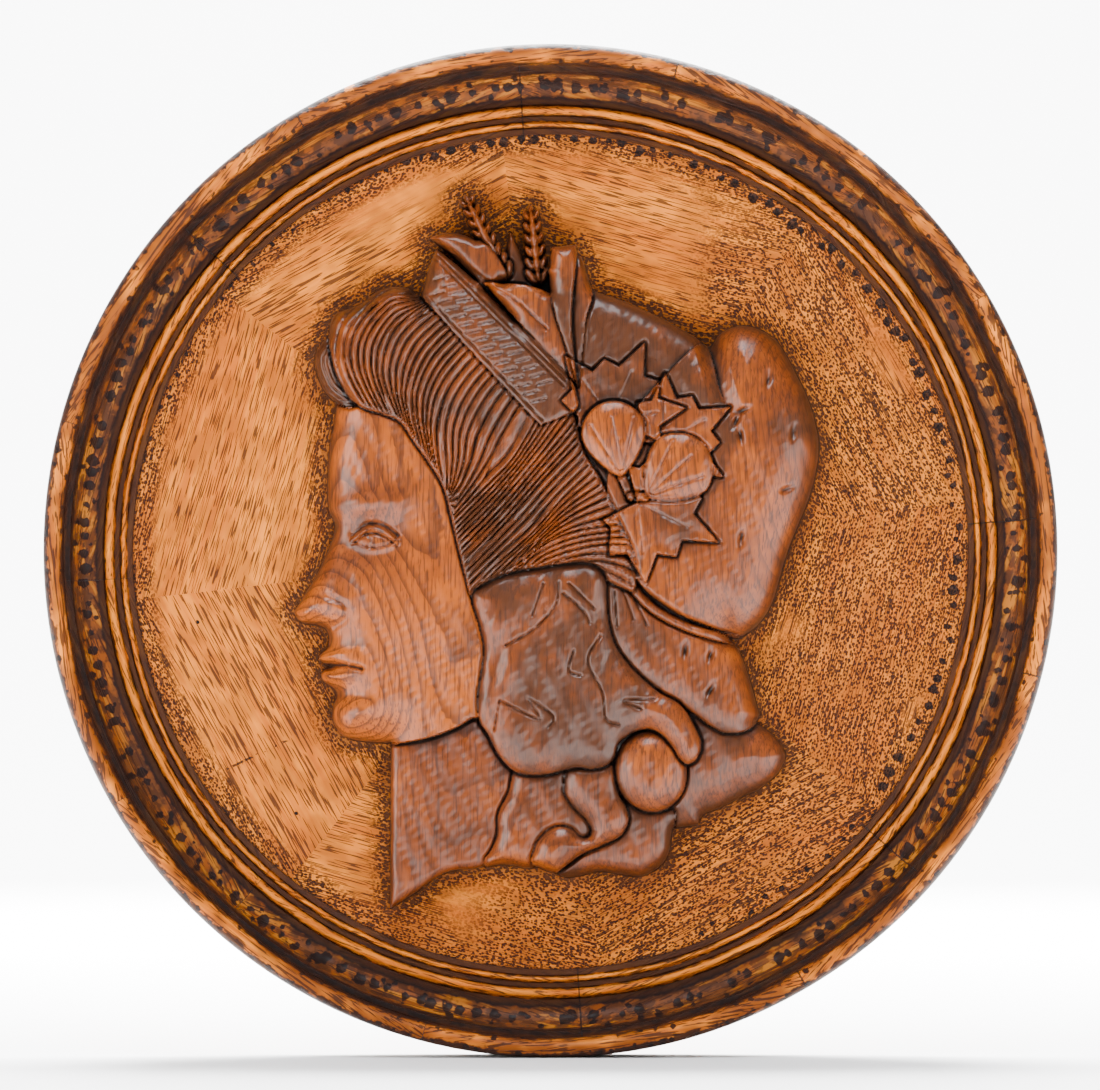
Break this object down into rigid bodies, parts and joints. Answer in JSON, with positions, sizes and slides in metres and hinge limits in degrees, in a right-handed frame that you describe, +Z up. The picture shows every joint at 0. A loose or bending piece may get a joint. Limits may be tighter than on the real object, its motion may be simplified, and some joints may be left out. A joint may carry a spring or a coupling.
{
  "type": "carved relief roundel",
  "caption": "Round oak wall plaque with a moulded rim and a woman's capped head in profile carved in brown wood standing on its field.",
  "frame": {"origin": "on the flat back, at the hanging point: on the upright centre line, 170 mm above the middle of the disc", "axes": "+Z up the hung plaque, -Y out of its carved front, +Y into the wall, +X to the right as seen from the front"},
  "size_m": [0.5, 0.0536, 0.5],
  "materials": {
    "head_wood": "dark red-brown close-grained wood, waxed to a soft gloss",
    "field_oak": "golden oak with dark pores and punched dots, waxed",
    "rim_oak": "turned oak, brown with darkened hollows and rubbed high parts, waxed"
  },
  "bodies": {
    "root": {"field_board_1": "field_oak", "field_board_2": "field_oak", "field_board_3": "field_oak", "field_board_4": "field_oak", "field_board_5": "field_oak", "field_board_6": "field_oak", "field_board_7": "field_oak", "field_board_8": "field_oak", "moulding_block_1": "rim_oak", "moulding_block_2": "rim_oak", "moulding_block_3": "rim_oak", "moulding_block_4": "rim_oak", "moulding_block_5": "rim_oak", "moulding_block_6": "rim_oak", "moulding_block_7": "rim_oak", "moulding_block_8": "rim_oak", "lip_block_1": "rim_oak", "lip_block_2": "rim_oak", "lip_block_3": "rim_oak", "lip_block_4": "rim_oak", "lip_block_5": "rim_oak", "lip_block_6": "rim_oak", "lip_block_7": "rim_oak", "lip_block_8": "rim_oak", "head_relief": "head_wood"}
  },
  "joints": []
}
